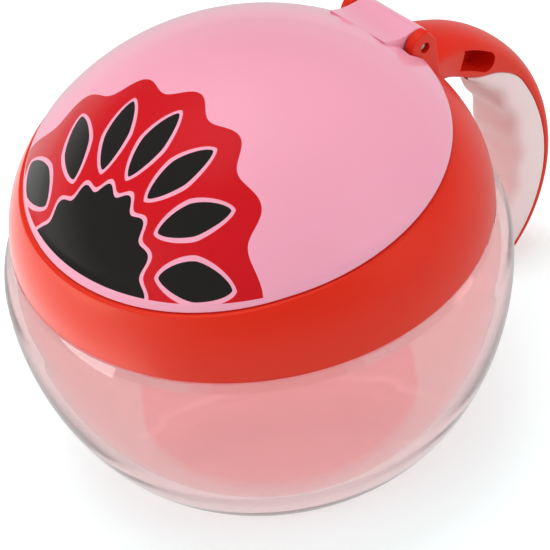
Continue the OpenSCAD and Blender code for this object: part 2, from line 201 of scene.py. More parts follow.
FLOOR_HALF, FLOOR_GAP = 3, 0.0002
floor_mesh = bpy.data.meshes.new("floor")
bm = bmesh.new()
bmesh.ops.create_grid(bm, x_segments=1, y_segments=1, size=FLOOR_HALF)
bmesh.ops.translate(bm, verts=bm.verts, vec=(0, 0, -FLOOR_GAP))
bm.to_mesh(floor_mesh)
bm.free()
floor = new_object("floor", floor_mesh)
mat, tree = new_material("floor_paper")
rays = add_node(tree, "LightPath").outputs
place = add_node(tree, "TexCoord").outputs["Object"]
away = add_node(tree, "VectorMath", {0: place}, operation="LENGTH").outputs["Value"]
own_white = eased(tree, away, 0.12, 0.6, 0.36, 1.0)
glow = math_node(tree, "MULTIPLY", rays["Is Camera Ray"], own_white)
# The paper's matt colour is painted a little cyan: it cancels the pink light that the bowl and
# the collar bounce onto it, so that its shade reads grey.
matt = add_node(tree, "BsdfDiffuse", {"Color": (0.77, 0.9, 0.9, 1)})
lift = add_node(tree, "Emission", {"Color": WHITE, "Strength": glow})
both = add_node(tree, "AddShader", {0: matt, 1: lift})
bounced = math_node(tree, "MAXIMUM", rays["Is Transmission Ray"], rays["Is Glossy Ray"])
whiteness = math_node(tree, "MULTIPLY_ADD", rays["Is Transmission Ray"], 0.35, 0.65)
white = add_node(tree, "Emission", {"Color": WHITE, "Strength": whiteness})
from_above = mixed(tree, bounced, both, white)
from_below = add_node(tree, "BsdfTransparent")
below = add_node(tree, "NewGeometry").outputs["Backfacing"]
add_node(tree, "OutputMaterial", {"Surface": mixed(tree, below, from_above, from_below)})
floor_mesh.materials.append(mat)
scene.view_settings.view_transform = "Standard"

# %% [markdown]
# ## Moulded plastic
# Every plastic piece has the same faint unevenness from its mould: a slow drift in
# colour, a roughness that is never quite even, and a fine ripple. One node group makes
# all three from Object coordinates, and each finish gives it its own values.
#
# The bowl is clear and thin. A full index of refraction would trap light in its wall and
# leave grey bands, so it bends light only a little, and a coat brings back the gloss of
# its skin. Its floor is the thickest part and has the deepest tint. Lamp light goes
# through it, so that the shadow inside the ring of the foot stays soft.

# %% Moulded plastic
def new_group(name, tree_kind, inputs, outputs):
    """A node group with named sockets, and what its input node gives out."""
    group = bpy.data.node_groups.new(name, tree_kind)
    kinds = {tuple: "NodeSocketColor", float: "NodeSocketFloat", int: "NodeSocketInt"}
    for socket, value in inputs.items():
        made = group.interface.new_socket(name=socket, in_out="INPUT",
                                          socket_type=kinds[type(value)])
        made.default_value = value
    for socket, kind in outputs.items():
        group.interface.new_socket(name=socket, in_out="OUTPUT",
                                   socket_type="NodeSocket" + kind)
    return group, add_node(group, "NodeGroupInput").outputs


def make_mould_group():
    """Colour drift, roughness and ripple height of a moulded skin."""
    group, source = new_group(
        "moulded_skin", "ShaderNodeTree",
        {"Color": (0.8, 0.8, 0.8, 1), "Drift": 0.04, "Roughness": 0.3, "Unevenness": 0.04,
         "Grain Scale": 900.0}, {"Color": "Color", "Roughness": "Float", "Height": "Float"})
    place = add_node(group, "TexCoord").outputs["Object"]
    slow = add_node(group, "TexNoise", {"Vector": place, "Scale": 22, "Detail": 3})
    fine = add_node(group, "TexNoise",
                    {"Vector": place, "Scale": source["Grain Scale"], "Detail": 4})
    centred = math_node(group, "SUBTRACT", slow, 0.5)
    swing = math_node(group, "MULTIPLY_ADD", centred, source["Drift"], 1.0)
    tint = add_node(group, "VectorMath", {0: source["Color"], "Scale": swing},
                    operation="SCALE")
    rough = math_node(group, "MULTIPLY_ADD", centred, source["Unevenness"],
                      source["Roughness"])
    add_node(group, "NodeGroupOutput", {"Color": tint, "Roughness": rough, "Height": fine})
    return group


moulded_skin = make_mould_group()


def linear(rgb):
    """A screen colour, 0 to 255, as the linear colour that shaders use."""
    return tuple(v / 12.92 if v <= 0.04045 else ((v + 0.055) / 1.055) ** 2.4
                 for v in (c / 255 for c in rgb)) + (1.0,)


def plastic(name, rgb, rough, uneven=0.05, drift=0.06, bump=0.00001, grain=900.0,
            coat=0.0, sheen=0.0, transmission=0.0, ior=1.5, subsurface=0.0, specular=0.5,
            specular_tint=WHITE):
    """A Principled plastic whose skin comes from the mould group."""
    mat, tree = new_material(name)
    skin = add_node(tree, "Group", {
        "Color": linear(rgb), "Drift": drift, "Roughness": rough, "Unevenness": uneven,
        "Grain Scale": grain}, node_tree=moulded_skin)
    ripple = add_node(tree, "Bump", {"Strength": 0.5, "Distance": bump,
                                     "Height": skin.outputs["Height"]})
    shader = add_node(tree, "BsdfPrincipled", {
        "Base Color": skin.outputs["Color"], "Roughness": skin.outputs["Roughness"],
        "Normal": ripple, "Coat Weight": coat, "Coat Roughness": 0.06,
        "Sheen Weight": sheen, "IOR": ior, "Specular IOR Level": specular,
        "Specular Tint": specular_tint,
        "Transmission Weight": transmission, "Subsurface Weight": subsurface,
        "Subsurface Radius": (0.004, 0.002, 0.002), "Subsurface Scale": 1.0})
    add_node(tree, "OutputMaterial", {"Surface": shader})
    return mat


def node_of(mat, kind):
    """The one node of a kind in a finish."""
    return next(n for n in mat.node_tree.nodes if n.type == kind)


def let_light_through(mat, rgb):
    """Lets lamp light pass through clear plastic, tinted at each face."""
    tree = mat.node_tree
    surface = node_of(mat, "OUTPUT_MATERIAL").inputs["Surface"]
    solid = surface.links[0].from_socket
    shadow = add_node(tree, "LightPath").outputs["Is Shadow Ray"]
    clear = add_node(tree, "BsdfTransparent", {"Color": linear(rgb)})
    tree.links.new(mixed(tree, shadow, solid, clear), surface)


def deepen_floor(mat, rgb, radius, height):
    """A deeper tint in the disc of the floor, the thickest part of the bowl."""
    tree = mat.node_tree
    color = node_of(mat, "GROUP").inputs["Color"]
    place = add_node(tree, "TexCoord").outputs["Object"]
    z = add_node(tree, "SeparateXYZ", {0: place}).outputs["Z"]
    flat = add_node(tree, "VectorMath", {0: place, 1: (1, 1, 0)}, operation="MULTIPLY")
    reach = add_node(tree, "VectorMath", {0: flat}, operation="LENGTH").outputs["Value"]
    near = eased(tree, reach, (radius + 0.3) * MM, (radius - 0.3) * MM, 0, 1)
    disc = math_node(tree, "MULTIPLY", near, math_node(tree, "LESS_THAN", z, height * MM))
    tint = add_node(tree, "Mix", {0: disc, 6: color.default_value, 7: linear(rgb)},
                    data_type="RGBA").outputs[2]
    tree.links.new(tint, color)


bowl_tint = plastic("bowl_tint", (242, 207, 207), 0.05, uneven=0.04, drift=0.05,
                    bump=0.00002, grain=60, transmission=0.92, ior=1.15, coat=0.8)
deepen_floor(bowl_tint, (245, 181, 183), 27.0, 3.4)
let_light_through(bowl_tint, (240, 240, 240))
collar_red = plastic("collar_red", (226, 33, 13), 0.36, uneven=0.08, drift=0.05,
                     grain=1400, specular=0.55, specular_tint=(1.0, 0.8, 0.55, 1))
grip_pink = plastic("grip_pink", (255, 220, 219), 0.55, uneven=0.1, drift=0.06,
                    bump=0.00002, grain=1600, sheen=0.15, subsurface=0.35)
insert_pink = plastic("insert_pink", (247, 222, 222), 0.5, uneven=0.08)
flap_pink = plastic("flap_pink", (249, 226, 224), 0.6, uneven=0.1, sheen=0.2)
print("finishes:", [m.name for m in bpy.data.materials])

# %% [markdown]
# ## Sizes
# The same sizes that the solids have, in millimetres. The lid closes on a plane that
# rises towards the hinge, so the lid and the collar's top are drawn in a tilted frame,
# and a helper takes their points back to the upright one.

# %% Sizes
# Bowl: belly radius and height, foot radius, wall, floor; neck radius, shoulder, rim
belly_r, belly_z, foot_r, bowl_wall, floor_t = 48, 36.6, 31.9, 2.2, 2.6
neck_r, shoulder_z, neck_top = 39.8, 45.1, 54.0
# Collar: lower edge, top radius, rise and bulge of its side; skirt, deck, mouth, land
collar_low_r, collar_low_z, collar_top_r = 45.5, 45.4, 40.4
collar_rise, collar_bulge = 16.2, 1.7
skirt_r, deck_z, mouth_r, deck_drop, land_drop = 41.2, 55.3, 34.0, 3.4, 1.4
# Lid: radius, dome, wall, flange, closing plane; thumb dip; plug ring and the rim round it
lid_r, dome_h, lid_wall, flange_t, tilt = 39.96, 18.9, 2.2, 1.2, math.radians(3.54)
lid_x, lid_z, dip_start, dip_slope = -1.0, 63.0, -20.0, math.tan(math.radians(2.5))
plug_r, plug_t, plug_h, rim_in = 37.1, 1.6, 3.0, 37.5
# Hinge: the pin in the lid's frame and upright, its barrel, and the ears
pin_lx, pin_lz, pin_r, barrel_r, barrel_l = lid_r - 0.46, 2.06, 1.05, 3.1, 15.0
pin_x = lid_x + pin_lx * math.cos(tilt) - pin_lz * math.sin(tilt)
pin_z = lid_z + pin_lx * math.sin(tilt) + pin_lz * math.cos(tilt)
ear_r, ear_in, ear_out, ear_back = 3.4, 7.8, 9.9, pin_x + 2.9
ROUND = 192
dome_r = (lid_r ** 2 + dome_h ** 2) / (2 * dome_h)
dome_drop = dome_r - dome_h


def from_lid(x, y, z):
    """A point of the tilted lid frame, in the upright frame."""
    return (lid_x + x * math.cos(tilt) - z * math.sin(tilt), y,
            lid_z + x * math.sin(tilt) + z * math.cos(tilt))


def to_lid(x, y, z):
    """A point of the upright frame, in the tilted lid frame."""
    x, z = x - lid_x, z - lid_z
    return (x * math.cos(tilt) + z * math.sin(tilt), y,
            -x * math.sin(tilt) + z * math.cos(tilt))


print("the hinge pin is at x", round(pin_x, 2), "and z", round(pin_z, 2), "mm")

# %% [markdown]
# ## Meshes from rings of points
# Nearly every piece here is a set of rings that are joined by quads: the bowl round its
# axis, and the handle along its arc. One helper joins the rings, another rounds the
# corners of an outline, and a third sets smooth shading that breaks only at real edges.
# The few flat-sided shapes are drawn out as tools, and joined on or cut away.

# %% Mesh helpers
def spread(start, end, steps):
    """Evenly spaced values from start to end, both included."""
    return [start + (end - start) * i / steps for i in range(steps + 1)]


def full_turn(count):
    """Evenly spaced angles once round a circle."""
    return spread(0, 2 * math.pi, count)[:-1]


def circle_point(x, z, radius, a):
    """A point of the XZ plane at an angle round (x, z)."""
    return x + radius * math.cos(a), z + radius * math.sin(a)


def bent(start, middle, end, steps):
    """Values or points along a short quadratic curve."""
    return [start * (1 - t) ** 2 + middle * 2 * t * (1 - t) + end * t ** 2
            for t in spread(0, 1, steps)]


def round_axis(a, radius, z):
    """A point at an angle, a distance from the upright axis and a height."""
    return radius * math.cos(a), radius * math.sin(a), z


def part_way(here, other, radius):
    """The point a radius along the way to another, at most half of it."""
    way = Vector(other) - here
    return here + way.normalized() * min(radius, way.length * 0.49)


def rounded(points, radii, steps=4):
    """An outline with its corners eased by the radii, as short curves."""
    result = []
    count = len(points)
    for i, (point, radius) in enumerate(zip(points, radii)):
        here = Vector(point)
        if radius <= 0:
            result.append(here)
            continue
        result += bent(part_way(here, points[i - 1], radius), here,
                       part_way(here, points[(i + 1) % count], radius), steps)
    return result


def write_smooth(bm, mesh, break_angle):
    """Writes the mesh, smooth except at folds sharper than the angle."""
    limit = math.radians(break_angle)
    for face in bm.faces:
        face.smooth = True
    for edge in bm.edges:
        edge.smooth = len(edge.link_faces) == 2 and edge.calc_face_angle(0) < limit
    bm.to_mesh(mesh)
    bm.free()


def object_from(name, bm, material, break_angle=38):
    """A finished mesh object: doubles merged, faces outwards, smooth up to the angle."""
    bmesh.ops.remove_doubles(bm, verts=bm.verts, dist=1e-6)
    bmesh.ops.recalc_face_normals(bm, faces=bm.faces)
    mesh = bpy.data.meshes.new(name)
    write_smooth(bm, mesh, break_angle)
    obj = new_object(name, mesh)
    if material:
        mesh.materials.append(material)
    return obj


def applied_mesh(obj):
    """The piece's mesh as its modifier makes it. The modifier is then removed."""
    graph = bpy.context.evaluated_depsgraph_get()
    mesh = bpy.data.meshes.new_from_object(obj.evaluated_get(graph))
    obj.modifiers.clear()
    return mesh


def rings_to_bmesh(rings, loop=True):
    """Quads between rings of points in mm. With loop the last ring joins the first one;
    otherwise both ends are closed off."""
    bm = bmesh.new()
    grid = [[bm.verts.new(Vector(p) * MM) for p in ring] for ring in rings]
    count = len(grid[0])
    for a, b in zip(grid, grid[1:] + (grid[:1] if loop else [])):
        for j in range(count):
            k = (j + 1) % count
            bm.faces.new((a[j], a[k], b[k], b[j]))
    if not loop:
        bm.faces.new(grid[0])
        bm.faces.new(list(reversed(grid[-1])))
    return bm


def capped(name, rings, material):
    """A piece from rings that are closed off at both ends."""
    return object_from(name, rings_to_bmesh(rings, loop=False), material)


def turned(name, outline, material, tilted=False):
    """A piece turned round its axis. outline(angle) gives (radius, height) points; where
    the piece has a pole, the points on the axis merge into one."""
    rings = []
    for a in full_turn(ROUND):
        points = [round_axis(a, r, z) for r, z in outline(a)]
        rings.append([from_lid(*p) for p in points] if tilted else points)
    bm = rings_to_bmesh(rings)
    bmesh.ops.remove_doubles(bm, verts=bm.verts, dist=1e-7)
    slivers = [f for f in bm.faces if f.calc_area() < 1e-14]
    bmesh.ops.delete(bm, geom=slivers, context="FACES_ONLY")
    return object_from(name, bm, material)


def extruded(name, outline, y0, y1, bevel=0.0):
    """A tool: an outline in the XZ plane, in mm, drawn out from y0 to y1, edges eased."""
    bm = bmesh.new()
    sides = [[bm.verts.new(Vector((x, y, z)) * MM) for x, z in outline]
             for y in sorted((y0, y1))]
    bm.faces.new(sides[0])
    bm.faces.new(list(reversed(sides[1])))
    count = len(outline)
    for j in range(count):
        k = (j + 1) % count
        bm.faces.new((sides[0][j], sides[1][j], sides[1][k], sides[0][k]))
    bmesh.ops.recalc_face_normals(bm, faces=bm.faces)
    if bevel:
        sharp = [e for e in bm.edges if e.calc_face_angle(0) > math.radians(30)]
        bmesh.ops.bevel(bm, geom=sharp, offset=bevel * MM, segments=3, profile=0.5,
                        affect="EDGES", clamp_overlap=True)
    return object_from(name, bm, None)


def cut_or_join(obj, tools, operation, break_angle=38):
    """An exact boolean of a piece with tool objects, which are then removed."""
    for tool in tools:
        step = obj.modifiers.new("step", "BOOLEAN")
        step.operation = operation
        step.solver = "EXACT"
        step.object = tool
        step.use_self = tool.name.startswith("handle")
        old, obj.data = obj.data, applied_mesh(obj)
        obj.data.name = old.name
        bpy.data.meshes.remove(old)
        bpy.data.objects.remove(tool)
    bm = bmesh.new()
    bm.from_mesh(obj.data)
    bmesh.ops.remove_doubles(bm, verts=bm.verts, dist=2e-6)
    bmesh.ops.dissolve_degenerate(bm, edges=bm.edges, dist=1e-6)
    write_smooth(bm, obj.data, break_angle)


def pin_bore(name):
    """A round tool along the pin's axis, a hair wider than the pin."""
    circle = [circle_point(pin_x, pin_z, pin_r + 0.05, a) for a in full_turn(48)]
    return extruded(name, circle, -20, 20)


# %% [markdown]
# ## The bowl
# A blow-moulded round bowl with one even wall. Its outline runs up the outside, over the
# neck's rim and back down the inside, and is turned round the axis. The belly is a
# flattened sine curve, tighter at the foot than a circle would be.

# %% The bowl
BELLY_OUT, BELLY_UP = 1.49, 1.09
FOOT_RING, INNER_SHARE = 1.5, 0.66


def bowl_side(r0, r1, z0, z1, steps=48):
    """The curve from the foot to the belly."""
    return [(r0 + (r1 - r0) * math.sin(a) ** BELLY_OUT,
             z0 + (z1 - z0) * (1 - max(0, math.cos(a)) ** BELLY_UP))
            for a in spread(0, math.pi / 2, steps)]


def bowl_shoulder(r1, r2, share, steps):
    """The curve from the belly up to a share of the way to the shoulder."""
    return [(r1 - (r1 - r2) * t ** 2, belly_z + (shoulder_z - belly_z) * t)
            for t in spread(0, share, steps)[1:]]


neck_bore, inner_foot = neck_r - bowl_wall, foot_r - bowl_wall
inner_belly, inner_low = belly_r - bowl_wall, collar_low_r - bowl_wall
outside = ([(0, 0), (foot_r - FOOT_RING, 0)] + bowl_side(foot_r, belly_r, 0, belly_z)
           + bowl_shoulder(belly_r, collar_low_r, 1, 14))
rim = rounded([(neck_r, shoulder_z), (neck_r, neck_top), (neck_bore, neck_top),
               (neck_bore, shoulder_z - 1.7), (neck_r - 0.6, shoulder_z - 2.1)],
              [0, 0.6, 0.6, 0.4, 0])
inside = (bowl_shoulder(inner_belly, inner_low, INNER_SHARE, 12)[::-1]
          + bowl_side(inner_foot, inner_belly, floor_t, belly_z)[::-1]
          + [(inner_foot - FOOT_RING, floor_t), (0, floor_t)])
bowl = turned("bowl_shell", lambda a: outside + rim + inside, bowl_tint)
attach(bowl, "bowl")
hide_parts("bowl")
count_faces("bowl", bowl)

# %% [markdown]
# ## The collar
# One moulding: a ring with a bulging side, a rim cut off along the lid's tilted plane
# with a shallow thumb dip at the front, and a deck inside that clamps the insert. Each
# slice round the axis gets its own outline, because the rim is higher at the hinge.

# %% The collar's ring
chord = math.hypot(collar_low_r - collar_top_r, collar_rise)
side_r = chord ** 2 / (8 * collar_bulge) + collar_bulge / 2
lean = math.atan2(collar_low_r - collar_top_r, collar_rise)
side_x = (collar_low_r + collar_top_r) / 2 - (side_r - collar_bulge) * math.cos(lean)
side_z = collar_low_z + collar_rise / 2 - (side_r - collar_bulge) * math.sin(lean)
side_start = math.asin((collar_low_z - side_z) / side_r) + math.radians(1.2)
side_end = math.radians(58)


def side_point(a):
    """A point (radius, height) of the ring's bulging side."""
    return circle_point(side_x, side_z, side_r, a)


def land_height(lx):
    """The land's height in the lid's frame: level, then falling into the thumb dip."""
    return -land_drop + min(0.0, (lx - dip_start) * dip_slope)


def above_land(x, y, z):
    """How far a point lies above the rim's land, the thumb dip included."""
    lx, _, lz = to_lid(x, y, z)
    return lz - land_height(lx)


def collar_outline(a):
    """The ring's outline in one upright slice, as points (x, y, z)."""
    low, high = side_start, side_end
    for _ in range(40):
        mid = (low + high) / 2
        if above_land(*round_axis(a, *side_point(mid))) > 0:
            high = mid
        else:
            low = mid
    side = [round_axis(a, *side_point(b)) for b in spread(side_start, low, 26)]

    def lid_ring(radius, lz):
        """A point of this slice, given in the lid's frame."""
        return from_lid(*round_axis(a, radius, lz))

    mouth_top = Vector(lid_ring(mouth_r, -deck_drop))
    drop = (mouth_top.z - deck_z) / math.cos(tilt)
    start = rounded([round_axis(a, skirt_r, deck_z), round_axis(a, skirt_r, collar_low_z),
                     round_axis(a, collar_low_r, collar_low_z), side[1]],
                    [0.3, 0.5, 0.45, 0])[:-1]
    land = land_height(rim_in * math.cos(a))
    finish = rounded([side[-2], side[-1], lid_ring(rim_in, land),
                      lid_ring(rim_in, -deck_drop), mouth_top,
                      lid_ring(mouth_r, -deck_drop - drop)],
                     [0, 1.1, 0.35, 0.3, 0.5, 0.4])
    return start + side[1:-2] + finish


slices = [collar_outline(a) for a in full_turn(ROUND)]
collar = object_from("collar_body", rings_to_bmesh(slices), collar_red)
count_faces("collar ring", collar)

# %% [markdown]
# ## The handle
# The handle is in one moulding with the collar. Its section is a D with a crowned back,
# swept down two arcs that meet at the widest point. The values that change on the way
# (crown, depth of the hard part, corners) are listed every ten degrees, and a smooth
# curve is run through them.

# %% The handle's sweep
handle_x, handle_z, upper_r, lower_r, handle_t = 70.595, 27.4, 36.0, 33.0, 10.1
root_w, grip_w, seat_gap, root_reach = 8.7, 6.7, 0.1, 10.8
upper_cx, lower_cx = handle_x - upper_r, handle_x - lower_r
root_a = math.degrees(math.acos((ear_back + seat_gap / 2 - upper_cx) / upper_r))
tip_a = -50.0
rows = {
    "thickness": [-2.6, -2.2, -1.8, -1.3, -0.9, -0.6, -0.3, -0.1, 0, 0, -0.2, -0.5, -0.8, -1.1],
    "crown": [3] * 7 + [2.9, 2.7, 2.4, 2.1, 1.8, 1.5, 1.2],
    "core": [7.5, 7.9, 8, 7.5, 5.4, 3.9, 3.7, 3.5, 3.2, 2.9, 2.6, 2.3, 2, 1.6],
    "corner": [2, 2, 0.6] + [0.3] * 11,
    "narrow": [0] * 10 + [0.1, 0.3, 0.6, 1.1],
    "fan": [-0.38, -0.3, -0.19, -0.09, -0.02] + [0] * 9,
}


def row_value(name, u):
    """The smooth value of a row at angle u down the handle."""
    v = rows[name]
    t = (root_a - max(u, tip_a)) / 10
    i = max(0, min(int(t), len(v) - 2))
    f = t - i
    p0, p1, p2, p3 = (v[max(0, min(len(v) - 1, k))] for k in (i - 1, i, i + 1, i + 2))
    return (p1 + (p2 - p0) * f / 2 + (2 * p0 - 5 * p1 + 4 * p2 - p3) * f * f / 2
            + (3 * p1 - p0 - 3 * p2 + p3) * f ** 3 / 2)


def spine_point(u, d):
    """The point at depth d below the handle's back, at angle u."""
    if u >= 0:
        fanned = math.radians(u + row_value("fan", u) * d)
        return circle_point(upper_cx, handle_z, upper_r - d, fanned)
    return circle_point(lower_cx, handle_z, lower_r - d, math.radians(u))


def half_width(u):
    """Half the handle's width, which grows towards the root and shrinks at the tip."""
    x = spine_point(u, 0)[0]
    wider = max(0.0, 1 - (x - ear_back) / root_reach) ** 1.5
    return grip_w + (root_w - grip_w) * wider - row_value("narrow", u)


def thickness(u):
    """The handle's thickness, soft grip included."""
    return handle_t + row_value("thickness", u)


def hard_depth(u):
    """How deep the hard part goes from the handle's back."""
    return min(row_value("core", u), thickness(u))


def eased_corners(w, low, corner, steps, first):
    """The two inner corners of a section, from the side first (1 or -1) to the other."""
    out, back = spread(0, math.pi / 2, steps), spread(math.pi / 2, 0, steps)
    return [(side * (w - corner * (1 - math.cos(a))), low - corner + corner * math.sin(a))
            for side, arc in ((first, out), (-first, back)) for a in arc]


def core_section(w, crown, low, corner):
    """A D as (y, depth), crowned outwards, with its inner corners eased."""
    crowned = [(w * math.sin(a), crown * (1 - math.cos(a)))
               for a in spread(-math.pi / 2, math.pi / 2, 28)]
    return crowned + eased_corners(w, low, corner, 6, 1)


def tip_point(turn, y, d):
    """A section point of the round end, turned about the tip's middle."""
    thick = thickness(tip_a)
    mx, mz = spine_point(tip_a, thick / 2)
    a = math.radians(tip_a)
    reach = (thick / 2 - d) * math.cos(turn)
    on = thick / 2 * math.sin(turn)
    return (mx + math.cos(a) * reach + math.sin(a) * on, y * (0.25 + 0.75 * math.cos(turn)),
            mz + math.sin(a) * reach - math.cos(a) * on)


def sweep(section, start, step):
    """Rings of a section from an angle down the handle and round its tip."""
    def ring(u):
        """The section's points, placed at angle u."""
        placed = ((spine_point(u, d), y) for y, d in section(u))
        return [(x, y, z) for (x, z), y in placed]

    rings = []
    u = start
    while u > tip_a + 0.3:
        rings.append(ring(u))
        u -= step
    rings.append(ring(tip_a))
    round_tip = [math.radians(b) for b in range(6, 85, 6)]
    return rings + [[tip_point(b, y, d) for y, d in section(tip_a)] for b in round_tip]


def core_at(u):
    """The hard part's section at angle u."""
    return core_section(half_width(u), row_value("crown", u), hard_depth(u),
                        row_value("corner", u))


root_x = ear_back - 0.1
root_ring = [(root_x, y, handle_z + math.sqrt((upper_r - d) ** 2 - (root_x - upper_cx) ** 2))
             for y, d in core_section(root_w - 0.02, 3, thickness(root_a), 2)]
handle_rings = [root_ring] + sweep(core_at, root_a - 1.5, 1.0)
handle = capped("handle_part", handle_rings, collar_red)

pocket_depth, pocket_half, pocket_web, beyond = 4.4, 2.1, 1.2, 14
pocket_a0, pocket_a1 = math.radians(48.8), math.radians(62)


def pocket_tool(side):
    """The slot in one side of the handle: square by the ears, round at its far end."""
    r, h = upper_r - pocket_depth, pocket_half
    line = [circle_point(0, 0, r + h, a) for a in spread(pocket_a0, pocket_a1, 16)]
    line += [circle_point(0, 0, r - h, a) for a in spread(pocket_a1, pocket_a0, 16)]
    end = circle_point(0, 0, r, pocket_a0)
    line += [circle_point(*end, h, a)
             for a in spread(pocket_a0 - math.pi, pocket_a0, 16)[1:-1]]
    placed = [(upper_cx + x, handle_z + z) for x, z in line]
    return extruded("pocket_tool", placed, side * pocket_web, side * beyond)


cut_or_join(handle, [pocket_tool(1), pocket_tool(-1)], "DIFFERENCE")
count_faces("handle", handle)

# %% [markdown]
# ## Hinge ears
# Two round-headed ears stand on the rim with the pin through them, and a scooped block
# between them leaves room for the lid's barrel. They are drawn as flat outlines with
# eased edges, then joined to the ring and the handle into one closed skin.

# %% Ears and the joined collar
ear_foot, scoop = deck_z + 2, barrel_r + 0.4


def ear_line():
    """One ear's outline: a round head over a flat back and front."""
    head = [circle_point(pin_x, pin_z, ear_r, math.radians(a)) for a in spread(180, 0, 60)]
    slope = (ear_back - pin_x - ear_r / 3) / (ear_r - 0.3)
    head = [(min(x, ear_back, ear_back - (z - pin_z - 0.3) * slope), z) for x, z in head]
    kept = [head[0]]
    for p in head:
        if math.dist(p, kept[-1]) > 0.05:
            kept.append(p)
    return kept + [(ear_back, ear_foot), (pin_x - ear_r, ear_foot)]


ears = [extruded("ear", ear_line(), side * ear_in, side * ear_out, bevel=0.3)
        for side in (1, -1)]
high = math.acos((ear_back - pin_x) / scoop)
block_line = [(pin_x - 2, ear_foot), (ear_back, ear_foot)]
block_line += [circle_point(pin_x, pin_z, scoop, a)
               for a in spread(-high, -math.pi / 2, 12)]
block_line += [(pin_x - 2, pin_z - scoop - 0.1)]
block = extruded("block", block_line, -ear_in - 1, ear_in + 1)
cut_or_join(collar, [block] + ears + [handle], "UNION")
cut_or_join(collar, [pin_bore("pin_hole")], "DIFFERENCE")
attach(collar, "collar")
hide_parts("collar", "handle_core")
link_light(sheen_card, collar, "INCLUDE")
count_faces("collar with handle", collar)

# %% [markdown]
# ## The soft grip
# A pale, soft material is moulded on the finger side of the handle. Five low waves run
# across it. It is swept like the handle, with the waves added to its depth.

# %% The soft grip
wave_h, wave_count, grip_a = 0.8, 5, 57.0
wave_start, wave_end = grip_a - 6, tip_a + 4


def wave(u):
    """The height of the finger waves between their two ends."""
    f = (wave_start - u) / (wave_start - wave_end)
    if f < 0 or f > 1:
        return 0.0
    return (wave_h * (0.5 - 0.5 * math.cos(2 * math.pi * wave_count * f))
            - wave_h / 2 * math.sin(math.pi * f))


def grip_section(u):
    """The grip's section. Near its thin start the points are held between its faces."""
    w, top, low = half_width(u), hard_depth(u) + 0.06, thickness(u) + wave(u)
    corner = min(2.6, (low - top) * 0.8)
    seam = [(w - 0.3, top), (w - 0.1, top + 0.08), (w, top + 0.3)]
    points = ([(-y, d) for y, d in seam] + eased_corners(w, low, corner, 8, -1)
              + seam[::-1])
    return [(y, min(max(d, top), low)) for y, d in points]


grip = capped("grip_skin", sweep(grip_section, grip_a, 0.6), grip_pink)
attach(grip, "collar")
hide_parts("handle_grip")
count_faces("grip", grip)

# %% [markdown]
# ## The lid's print
# The front of the lid carries a glossy print: a red, scalloped half flower that rises
# from the thumb lip, with a black heart and black petals, each with a thin pink outline.
# It is a plain pattern of this lesson's own, drawn by arithmetic on the place of each
# point, seen straight down on the lid, so its edges stay sharp at any distance.

# %% Print pattern
LID_PINK = (244, 165, 188)
FLOWER_X, FLOWER_LOBES, PETAL_POINT = 43.0, 9, 1.5


def make_print_group():
    """The printed colours over the lid's own, from Object coordinates."""
    group, source = new_group(
        "half_flower_print", "ShaderNodeTree",
        {"Base": linear(LID_PINK), "Field": linear((205, 2, 20)), "Ink": linear((27, 24, 22)),
         "Field Reach": 36.0, "Heart Reach": 15.0, "Petal Reach": 25.0, "Petal Length": 7.0,
         "Petal Width": 2.6, "Outline": 0.8}, {"Color": "Color"})

    def calc(operation, *terms):
        return math_node(group, operation, *terms)

    def length(a, b):
        """The length of the hypotenuse over a and b."""
        return calc("SQRT", calc("ADD", calc("MULTIPLY", a, a), calc("MULTIPLY", b, b)))

    def paint(below, above, mask):
        """One colour over another where the mask is 1, on the dome only."""
        share = calc("MULTIPLY", mask, on_dome)
        return add_node(group, "Mix", {0: share, 6: below, 7: above},
                        data_type="RGBA").outputs[2]

    place = add_node(group, "TexCoord").outputs["Object"]
    level = add_node(group, "Mapping", {
        "Vector": place, "Location": (lid_x * MM, 0, lid_z * MM), "Rotation": (0, -tilt, 0),
        "Scale": (MM, MM, MM)}, vector_type="TEXTURE")
    x, y, z = add_node(group, "SeparateXYZ", {0: level}).outputs
    from_centre = length(length(x, y), calc("ADD", z, dome_drop))
    outer_skin = calc("GREATER_THAN", from_centre, dome_r - lid_wall / 2)
    on_dome = calc("MULTIPLY", outer_skin, calc("GREATER_THAN", z, -0.2))
    fx = calc("ADD", x, FLOWER_X)
    reach = length(fx, y)
    angle = calc("ARCTAN2", y, fx)
    lobe = math.pi / FLOWER_LOBES

    def wavy(edge, depth):
        """An edge that ripples once for each lobe."""
        ripple = calc("COSINE", calc("MULTIPLY", angle, 2 * math.pi / lobe))
        return calc("MULTIPLY_ADD", ripple, depth, edge)

    field = calc("LESS_THAN", reach, wavy(source["Field Reach"], 1.5))
    heart_edge = wavy(source["Heart Reach"], -0.8)
    heart = calc("LESS_THAN", reach, heart_edge)
    heart_line = calc("LESS_THAN", reach, calc("ADD", heart_edge, source["Outline"]))
    turns = calc("DIVIDE", angle, lobe)
    off = calc("MULTIPLY", calc("SUBTRACT", turns, calc("ROUND", turns)), lobe)
    sideways = calc("ABSOLUTE", calc("MULTIPLY", off, reach))
    along = calc("ABSOLUTE", calc("SUBTRACT", reach, source["Petal Reach"]))

    def petal(extra):
        """1 inside the petals, made larger all round by the extra."""
        a = calc("DIVIDE", along, calc("ADD", source["Petal Length"], extra))
        b = calc("DIVIDE", sideways, calc("ADD", source["Petal Width"], extra))
        return calc("LESS_THAN", calc("ADD", calc("POWER", a, PETAL_POINT),
                                      calc("POWER", b, PETAL_POINT)), 1.0)

    color = paint(source["Base"], source["Field"], field)
    color = paint(color, source["Base"], calc("MAXIMUM", petal(source["Outline"]), heart_line))
    color = paint(color, source["Ink"], calc("MAXIMUM", petal(0.0), heart))
    add_node(group, "NodeGroupOutput", {"Color": color})
    return group


